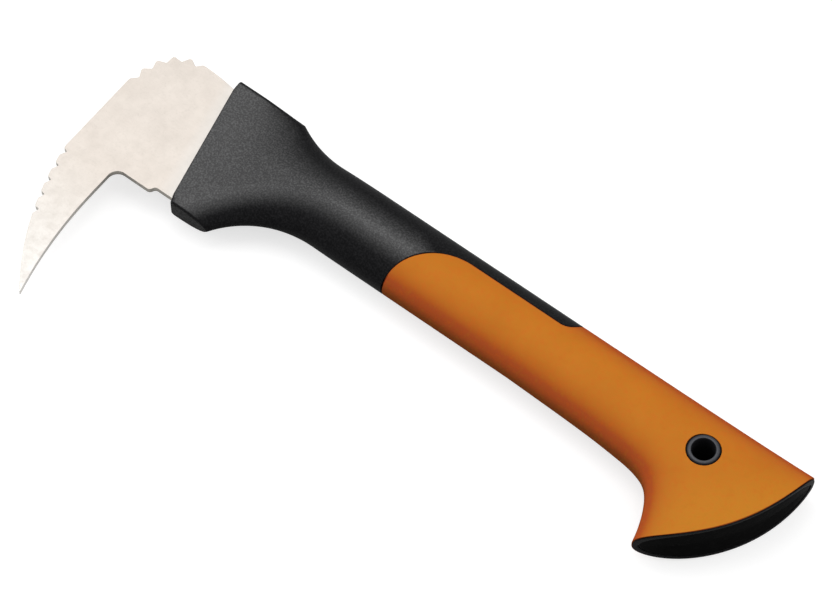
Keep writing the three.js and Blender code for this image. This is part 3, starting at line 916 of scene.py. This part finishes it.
def butt_plug(material):
    butt = flare_section(1.0)
    edge = BUTT_RIM_WIDTH + SEAM_GAP
    rows = [flatten(carrier_row(butt, edge, SEAM_GAP - PLUG_THICKNESS))]
    rows.append(carrier_row(butt, edge, SEAM_GAP - PLUG_THICKNESS))
    for across, down in quarter_round(PLUG_ROUND, PLUG_ROUND_STEPS):
        rows.append(carrier_row(butt, edge + across, -PLUG_SINK - down))
    face_start = edge + PLUG_ROUND
    for share in steps(DISH_ROWS, 0, 1)[1:]:
        inset = mix(face_start, BUTT_HALF, share)
        rows.append(carrier_row(butt, inset, -PLUG_SINK - PLUG_DISH * smooth(share)))
    bm = half_skin(rows)
    mark_faces(bm, "lip", plug_lip_share)
    return finish_piece(bm, "butt_plug_black", ["butt_plug"], material)


def hang_hole_surface():
    """Half thickness of the handle at the middle of the hanging hole."""
    station = (HANG_HOLE.x - FLARE_START_X) / FLARE_SPINE_LENGTH
    for _ in range(HOLE_STEPS):
        section = flare_section(station)
        t = (section.plan_at(0).y - HANG_HOLE.y) / (section.plan_at(0).y - section.plan_at(1).y)
        station += (HANG_HOLE.x - section.plan_at(t).x) / FLARE_SPINE_LENGTH
    return section.half_at(t)


def hang_hole_bush(material):
    top = hang_hole_surface() + BUSH_PROUD
    profile = [(BORE_RADIUS, 0)]
    mouth = quarter_round(BUSH_MOUTH_ROUND, BUSH_ROUND_STEPS)
    profile += [(BORE_RADIUS + across, top - down) for across, down in mouth]
    lip = quarter_round(BUSH_LIP_ROUND, BUSH_ROUND_STEPS)
    profile += [(BUSH_RADIUS - across, top - down) for across, down in reversed(lip)]
    profile.append((BUSH_RADIUS, 0))
    bm = bmesh.new()
    verts = [bm.verts.new((place, 0, height)) for place, height in profile]
    edges = [bm.edges.new(pair) for pair in zip(verts, verts[1:])]
    bmesh.ops.spin(bm, geom=verts + edges, cent=(0, 0, 0), axis=(0, 0, 1), angle=2 * math.pi,
                   steps=FULL_TURN_STEPS, use_merge=True)
    bmesh.ops.remove_doubles(bm, verts=bm.verts, dist=JOIN_DISTANCE)
    everything = bm.verts[:] + bm.edges[:] + bm.faces[:]
    bmesh.ops.mirror(bm, geom=everything, axis="Z", merge_dist=JOIN_DISTANCE)
    bmesh.ops.translate(bm, vec=(HANG_HOLE.x, HANG_HOLE.y, 0), verts=bm.verts)
    bmesh.ops.recalc_face_normals(bm, faces=bm.faces)
    return finish_piece(bm, "hanging_hole_bush", ["hang_hole_bush"], material)


# Finishes

class Finish:
    """A material with short ways to add and join its nodes."""

    def __init__(self, name, slot):
        self.material = bpy.data.materials.new(name)
        self.material.use_nodes = True
        self.material["slot"] = slot
        self.tree = self.material.node_tree
        self.shader = self.tree.nodes["Principled BSDF"]
        self.place = self.node("ShaderNodeTexCoord").outputs["Object"]

    def node(self, kind, settings=None, **values):
        made = self.tree.nodes.new(kind)
        for name, value in (settings or {}).items():
            setattr(made, name, value)
        for name, value in values.items():
            self.put(made, name.replace("_", " "), value)
        return made

    def put(self, node, name, value):
        socket = node.inputs[name]
        if isinstance(value, bpy.types.NodeSocket):
            self.tree.links.new(value, socket)
        else:
            socket.default_value = value

    def set(self, **values):
        for name, value in values.items():
            self.put(self.shader, name.replace("_", " "), value)

    def facing(self, low, high, side=0.0, face=1.0, lean=0.0, headward=1.0):
        """A value for the sides of the object that passes into one for its broad faces.

        A lean makes less of the faces that turn to the spine than of those that turn to the belly.
        Headward says how much a slope that turns to the head counts beside the others.
        """
        normal = self.tree.nodes["Texture Coordinate"].outputs["Normal"]
        parts = self.node("ShaderNodeSeparateXYZ", Vector=normal)
        to_head = self.compute("MULTIPLY", parts.outputs["X"], headward)
        run = self.compute("MAXIMUM", parts.outputs["X"], to_head)
        weighed = self.node("ShaderNodeCombineXYZ", X=run, Y=parts.outputs["Y"], Z=parts.outputs["Z"])
        turned = self.node("ShaderNodeVectorMath", {"operation": "NORMALIZE"})
        self.put(turned, 0, weighed.outputs["Vector"])
        parts = self.node("ShaderNodeSeparateXYZ", Vector=turned.outputs["Vector"])
        to_spine = self.compute("MULTIPLY", parts.outputs["Y"], lean)
        broad = self.compute("SUBTRACT", self.compute("ABSOLUTE", parts.outputs["Z"], 0.0), to_spine)
        return self.spread(broad, low, high, side, face)

    def past(self, line, ahead, reach):
        """Zero up to a line across the object, growing to one a reach ahead of it."""
        away = self.node("ShaderNodeVectorMath", {"operation": "SUBTRACT"})
        self.put(away, 0, self.place)
        self.put(away, 1, line)
        distance = self.node("ShaderNodeVectorMath", {"operation": "DOT_PRODUCT"})
        self.put(distance, 0, away.outputs["Vector"])
        self.put(distance, 1, ahead)
        return self.spread(distance.outputs["Value"], 0.0, reach * MM)

    def mark(self, name):
        return self.node("ShaderNodeAttribute", {"attribute_name": name}).outputs["Fac"]

    def stretched(self, scale):
        return self.node("ShaderNodeMapping", Vector=self.place, Scale=scale).outputs["Vector"]

    def noise(self, size, detail, roughness=0.55, vector=None):
        """Soft cloudy noise whose features are about a size across, in millimetres."""
        node = self.node("ShaderNodeTexNoise", Vector=vector or self.place, Scale=1 / (size * MM),
                         Detail=detail, Roughness=roughness)
        return node.outputs["Fac"]

    def cells(self, size):
        """Pitted noise, dark in the middle of each cell."""
        node = self.node("ShaderNodeTexVoronoi", Vector=self.place, Scale=1 / (size * MM))
        return node.outputs["Distance"]

    def spread(self, value, low, high, to_low=0.0, to_high=1.0):
        """Stretches the part of a value between two limits over a new range."""
        node = self.node("ShaderNodeMapRange", Value=value, From_Min=low, From_Max=high,
                         To_Min=to_low, To_Max=to_high)
        return node.outputs["Result"]

    def blend(self, share, first, second):
        node = self.node("ShaderNodeMix", {"data_type": "RGBA"})
        self.put(node, 0, share)
        self.put(node, 6, first)
        self.put(node, 7, second)
        return node.outputs[2]

    def compute(self, operation, first, second):
        node = self.node("ShaderNodeMath", {"operation": operation})
        self.put(node, 0, first)
        self.put(node, 1, second)
        return node.outputs[0]

    def bump(self, height, depth, strength, after=None):
        """Raises the surface by a height map whose full range is a depth in millimetres."""
        node = self.node("ShaderNodeBump", Height=height, Distance=depth * MM, Strength=strength)
        if after is not None:
            self.put(node, "Normal", after)
        return node.outputs["Normal"]


def satin_steel():
    """Bright stamped plate: cloudy rolling marks, small specks, a darker cut edge and painted light on the
    plate beside the collar.
    """
    warm = (0.508, 0.465, 0.424, 1)
    cool = (0.480, 0.437, 0.397, 1)
    point = (0.585, 0.575, 0.553, 1)
    stained = (0.42, 0.385, 0.350, 1)
    specked = (0.37, 0.335, 0.305, 1)
    collar_painted_light = (0.505, 0.483, 0.457, 1)
    cut_dark = (0.37, 0.35, 0.315, 1)
    cut_pale = (0.66, 0.64, 0.61, 1)
    finish = Finish("satin_steel", "steel")
    clouds = finish.noise(15, 3, 0.6)
    mottle = finish.noise(4.5, 4, 0.6)
    specks = finish.noise(0.9, 3, 0.6)
    rolled = finish.noise(0.8, 3, 0.6, finish.stretched((0.1, 1.0, 1.0)))
    collar_top = placed(COLLAR_FRONT_X, COLLAR_TOP_Y, 0)
    collar_toe = placed(TOE_X, TOE_Y, 0)
    ahead = Vector((collar_toe.y - collar_top.y, collar_top.x - collar_toe.x, 0)).normalized()
    collar_painted_light_share = finish.past(collar_top + ahead * COLLAR_PAINTED_LIGHT_REACH * MM, -ahead, COLLAR_PAINTED_LIGHT_REACH)
    towards_tip = Vector((0, -1, 0))
    to_the_point = finish.past(placed(0, -FRONT_EDGE_DROP, 0), towards_tip, PICK_DROP - FRONT_EDGE_DROP)
    tone = finish.blend(finish.spread(clouds, 0.35, 0.7), warm, cool)
    tone = finish.blend(to_the_point, tone, point)
    stain = finish.spread(to_the_point, 0, 1, 0.24, 0.6)
    stain = finish.compute("MULTIPLY", finish.spread(mottle, 0.4, 0.7), stain)
    tone = finish.blend(stain, tone, stained)
    tone = finish.blend(finish.spread(specks, 0.55, 0.78, 0, 0.4), tone, specked)
    # Painted light: the plate is lighter and greyer in a band beside the collar's front.
    tone = finish.blend(collar_painted_light_share, tone, collar_painted_light)
    cut = finish.blend(to_the_point, cut_dark, cut_pale)
    tone = finish.blend(finish.mark("cut_edge"), tone, cut)
    gloss = finish.spread(finish.compute("ADD", mottle, rolled), 0.7, 1.3, 0.42, 0.5)
    grain = finish.bump(rolled, 0.006, 0.15)
    grain = finish.bump(specks, 0.01, 0.2, grain)
    finish.set(Base_Color=tone, Metallic=1.0, Roughness=gloss, Normal=grain)
    return finish.material


def spark_nylon():
    """Dark moulded nylon with a light spark grain: painted light makes the broad faces and their grain
    lighter, and painted shade darkens them towards the sides.
    """
    lit_face_dark = (0.013, 0.013, 0.0135, 1)
    lit_face_pale = (0.0205, 0.0205, 0.021, 1)
    lit_face_grain = (0.083, 0.083, 0.084, 1)
    shaded_side_dark = (0.0055, 0.0055, 0.006, 1)
    shaded_side_grain = (0.017, 0.017, 0.018, 1)
    lit_pad_dark = (0.008, 0.008, 0.008, 1)
    lit_pad_grain = (0.052, 0.052, 0.053, 1)
    finish = Finish("spark_nylon", "core")
    pits = finish.cells(0.6)
    grain = finish.noise(0.8, 2, 0.5)
    clouds = finish.noise(9, 4)
    light_grain = finish.spread(grain, 0.42, 0.72)
    # Painted light and shade: faces that turn up or down are lighter, most of all where they turn to the
    # belly or the head, and the sides are darker.
    flatness = finish.facing(0.0, 1.0, lean=SPINE_SHADE, headward=HEADWARD_SHADE)
    tilt = finish.compute("ARCCOSINE", flatness, 0.0)
    broad = finish.spread(tilt, NYLON_PAINTED_SHADE_TILT, 0.0)
    broad = finish.compute("MULTIPLY", broad, broad)
    # The strip and the butt's rim get no painted light and keep the painted shade of the sides.
    broad = finish.compute("SUBTRACT", broad, finish.mark("trim"))
    face = finish.blend(finish.spread(clouds, 0.3, 0.7), lit_face_dark, lit_face_pale)
    face = finish.blend(light_grain, face, lit_face_grain)
    side = finish.blend(light_grain, shaded_side_dark, shaded_side_grain)
    tone = finish.blend(broad, side, face)
    # Painted light: the flat under the toe is painted lighter than the other sides of the core.
    pad = finish.blend(finish.spread(grain, 0.38, 0.66), lit_pad_dark, lit_pad_grain)
    tone = finish.blend(finish.mark("toe_pad"), tone, pad)
    gloss = finish.spread(grain, 0.3, 0.7, 0.36, 0.5)
    relief = finish.bump(pits, 0.06, 0.6)
    relief = finish.bump(grain, 0.1, 0.7, relief)
    finish.set(Base_Color=tone, Roughness=gloss, Normal=relief,
               Specular_IOR_Level=finish.spread(broad, 0, 1, TRIM_SHEEN, NYLON_SHEEN))
    return finish.material


def soft_orange():
    """Soft rubber: orange on the broad faces, with painted shade that deepens it to red-brown where it
    turns to the sides, and rubbed flecks.
    """
    deep_face = (0.520, 0.161, 0.009, 1)
    pale_face = (0.560, 0.178, 0.011, 1)
    heel = (0.555, 0.198, 0.012, 1)
    side = (0.29, 0.074, 0.020, 1)
    turn = (0.43, 0.080, 0.021, 1)
    red_fleck = (0.60, 0.125, 0.010, 1)
    olive_fleck = (0.46, 0.185, 0.012, 1)
    rubbed = (0.47, 0.132, 0.010, 1)
    finish = Finish("soft_orange", "grip")
    clouds = finish.noise(22, 3)
    grain = finish.noise(0.6, 3, 0.6)
    flecks = finish.noise(2.2, 4, 0.6)
    rub = finish.noise(5, 4, 0.65)
    face = finish.blend(finish.spread(clouds, 0.3, 0.7), deep_face, pale_face)
    # Painted shade: the orange darkens to red-brown where the surface turns to the sides.
    turned = finish.blend(finish.facing(0.05, 0.5), side, turn)
    heelward = Vector((1, -1, 0)).normalized()
    towards_heel = finish.past(placed(HANG_HOLE.x, -GRIP_HALF, 0), heelward, GRIP_HALF_WIDTH)
    face = finish.blend(towards_heel, face, heel)
    tone = finish.blend(finish.facing(0.74, 1.0), turned, face)
    tone = finish.blend(finish.spread(flecks, 0.5, 0.7, 0, 0.3), tone, red_fleck)
    tone = finish.blend(finish.spread(flecks, 0.5, 0.3, 0, 0.25), tone, olive_fleck)
    tone = finish.blend(finish.spread(rub, 0.55, 0.8, 0, 0.3), tone, rubbed)
    gloss = finish.spread(rub, 0.3, 0.7, 0.48, 0.6)
    relief = finish.bump(grain, 0.03, 0.35)
    finish.set(Base_Color=tone, Roughness=gloss, Normal=relief,
               Specular_IOR_Level=finish.facing(0.8, 1.0, 0.0, GRIP_SHEEN),
               Subsurface_Weight=0.08, Subsurface_Radius=(0.004, 0.0012, 0.0004))
    return finish.material


def gloss_black(name, slot, tone, painted_lit_face_tone, sheen, turn):
    """Smooth black plastic with worn spots, with painted light that makes its faces a little brighter than
    its sides, and a marked lip painted lighter as edge wear and as a painted highlight.
    """
    finish = Finish(name, slot)
    rub = finish.noise(4, 4, 0.65)
    grain = finish.noise(0.9, 3, 0.6)
    # Painted light: faces that turn up or down are lighter than the sides.
    colour = finish.blend(finish.facing(turn, FACED), (*tone, 1), (*painted_lit_face_tone, 1))
    worn = tuple(channel * WORN_GAIN for channel in tone)
    colour = finish.blend(finish.spread(rub, 0.5, 0.8, 0, 0.5), colour, (*worn, 1))
    # The marked lip is painted lighter, partly as edge wear and partly as a painted highlight along it.
    lip = finish.mark("lip")
    colour = finish.blend(finish.spread(lip, 0, 1, 0, LIP_SHARE), colour, LIP_WEAR_AND_HIGHLIGHT_TONE)
    on_lip = finish.spread(lip, 0, 1, 0, LIP_SHEEN)
    shine = finish.compute("ADD", finish.facing(turn, FACED, EDGE_SHEEN, sheen), on_lip)
    finish.set(Base_Color=colour, Roughness=finish.spread(rub, 0.3, 0.7, 0.2, 0.32),
               Normal=finish.bump(grain, 0.02, 0.3), Specular_IOR_Level=shine)
    return finish.material


def floor_white():
    """Pale floor: white to the camera and in reflections, with the object's shadow, and dull as a lamp."""
    finish = Finish("pale_floor", "stage")
    tree = finish.tree
    seen = finish.node("ShaderNodeLightPath")
    glow = finish.node("ShaderNodeEmission", Color=WHITE, Strength=FLOOR_GLOW)
    lit = finish.node("ShaderNodeBsdfDiffuse", Color=(0.5, 0.5, 0.5, 1))
    white = finish.node("ShaderNodeBsdfDiffuse", Color=(0.88, 0.88, 0.88, 1))
    dull = finish.node("ShaderNodeBsdfDiffuse", Color=(0.15, 0.15, 0.15, 1))
    shown = finish.node("ShaderNodeAddShader")
    tree.links.new(glow.outputs[0], shown.inputs[0])
    tree.links.new(lit.outputs[0], shown.inputs[1])
    glossy, transmitted = seen.outputs["Is Glossy Ray"], seen.outputs["Is Transmission Ray"]
    mirrored = finish.compute("MAXIMUM", glossy, transmitted)
    floor = dull
    for share, shader in ((mirrored, white), (seen.outputs["Is Camera Ray"], shown)):
        choice = finish.node("ShaderNodeMixShader")
        finish.put(choice, 0, share)
        tree.links.new(floor.outputs[0], choice.inputs[1])
        tree.links.new(shader.outputs[0], choice.inputs[2])
        floor = choice
    tree.links.new(floor.outputs[0], tree.nodes["Material Output"].inputs["Surface"])
    return finish.material


# Studio

def bearing(azimuth, elevation):
    turn, lift = math.radians(azimuth), math.radians(elevation)
    return Vector((math.sin(turn) * math.cos(lift), -math.cos(turn) * math.cos(lift), math.sin(lift)))


def look_at(thing, aim):
    direction = aim - thing.location
    thing.rotation_euler = direction.to_track_quat("-Z", "Y").to_euler()


def photo_camera():
    data = bpy.data.cameras.new("photo_camera")
    data.lens = CAMERA_LENS
    data.sensor_width = CAMERA_SENSOR
    data.clip_end = CAMERA_SIGHT
    camera = bpy.data.objects.new("photo_camera", data)
    bpy.context.scene.collection.objects.link(camera)
    aim = placed(*CAMERA_AIM)
    camera.location = aim + bearing(CAMERA_AZIMUTH, CAMERA_ELEVATION) * CAMERA_DISTANCE * MM
    look_at(camera, aim)
    bpy.context.scene.camera = camera


def soft_box(name, azimuth, elevation, size, power):
    data = bpy.data.lights.new(name, "AREA")
    data.shape = "SQUARE"
    data.size = size
    data.energy = power
    lamp = bpy.data.objects.new(name, data)
    bpy.context.scene.collection.objects.link(lamp)
    lamp.location = bearing(azimuth, elevation) * SOFT_BOX_DISTANCE
    look_at(lamp, Vector((0, 0, 0)))


def pale_floor():
    bm = bmesh.new()
    bmesh.ops.create_grid(bm, x_segments=FLOOR_SQUARES, y_segments=FLOOR_SQUARES, size=FLOOR_REACH)
    bmesh.ops.translate(bm, vec=(0, 0, CAD_LOW.z), verts=bm.verts)
    mesh = bpy.data.meshes.new("floor")
    bm.to_mesh(mesh)
    bm.free()
    mesh.materials.append(floor_white())
    floor = bpy.data.objects.new("floor", mesh)
    bpy.context.scene.collection.objects.link(floor)


def seen_share(tree):
    """One for the camera and in reflections, zero for the light that falls on the object."""
    seen = tree.nodes.new("ShaderNodeLightPath")
    share = seen.outputs["Is Camera Ray"]
    for kind in ("Is Glossy Ray", "Is Transmission Ray"):
        larger = tree.nodes.new("ShaderNodeMath")
        larger.operation = "MAXIMUM"
        tree.links.new(share, larger.inputs[0])
        tree.links.new(seen.outputs[kind], larger.inputs[1])
        share = larger.outputs[0]
    return share


def studio_world():
    """White to the camera and in reflections, and a plain level as a light."""
    world = bpy.data.worlds.new("studio")
    bpy.context.scene.world = world
    world.use_nodes = True
    tree = world.node_tree
    strength = tree.nodes.new("ShaderNodeMapRange")
    strength.inputs["To Min"].default_value = SKY_LIGHT
    strength.inputs["To Max"].default_value = SKY_SEEN
    tree.links.new(seen_share(tree), strength.inputs["Value"])
    background = tree.nodes["Background"]
    background.inputs["Color"].default_value = WHITE
    tree.links.new(strength.outputs["Result"], background.inputs["Strength"])


def studio():
    bpy.context.scene.view_settings.view_transform = "Standard"
    photo_camera()
    pale_floor()
    studio_world()
    for box in SOFT_BOXES:
        soft_box(**box)


studio()
pick_head(satin_steel())
handle_core(spark_nylon())
grip_sleeve(soft_orange())
butt_plug(gloss_black("plug_black", "plug", **PLUG_FINISH))
hang_hole_bush(gloss_black("bush_black", "bush", **BUSH_FINISH))
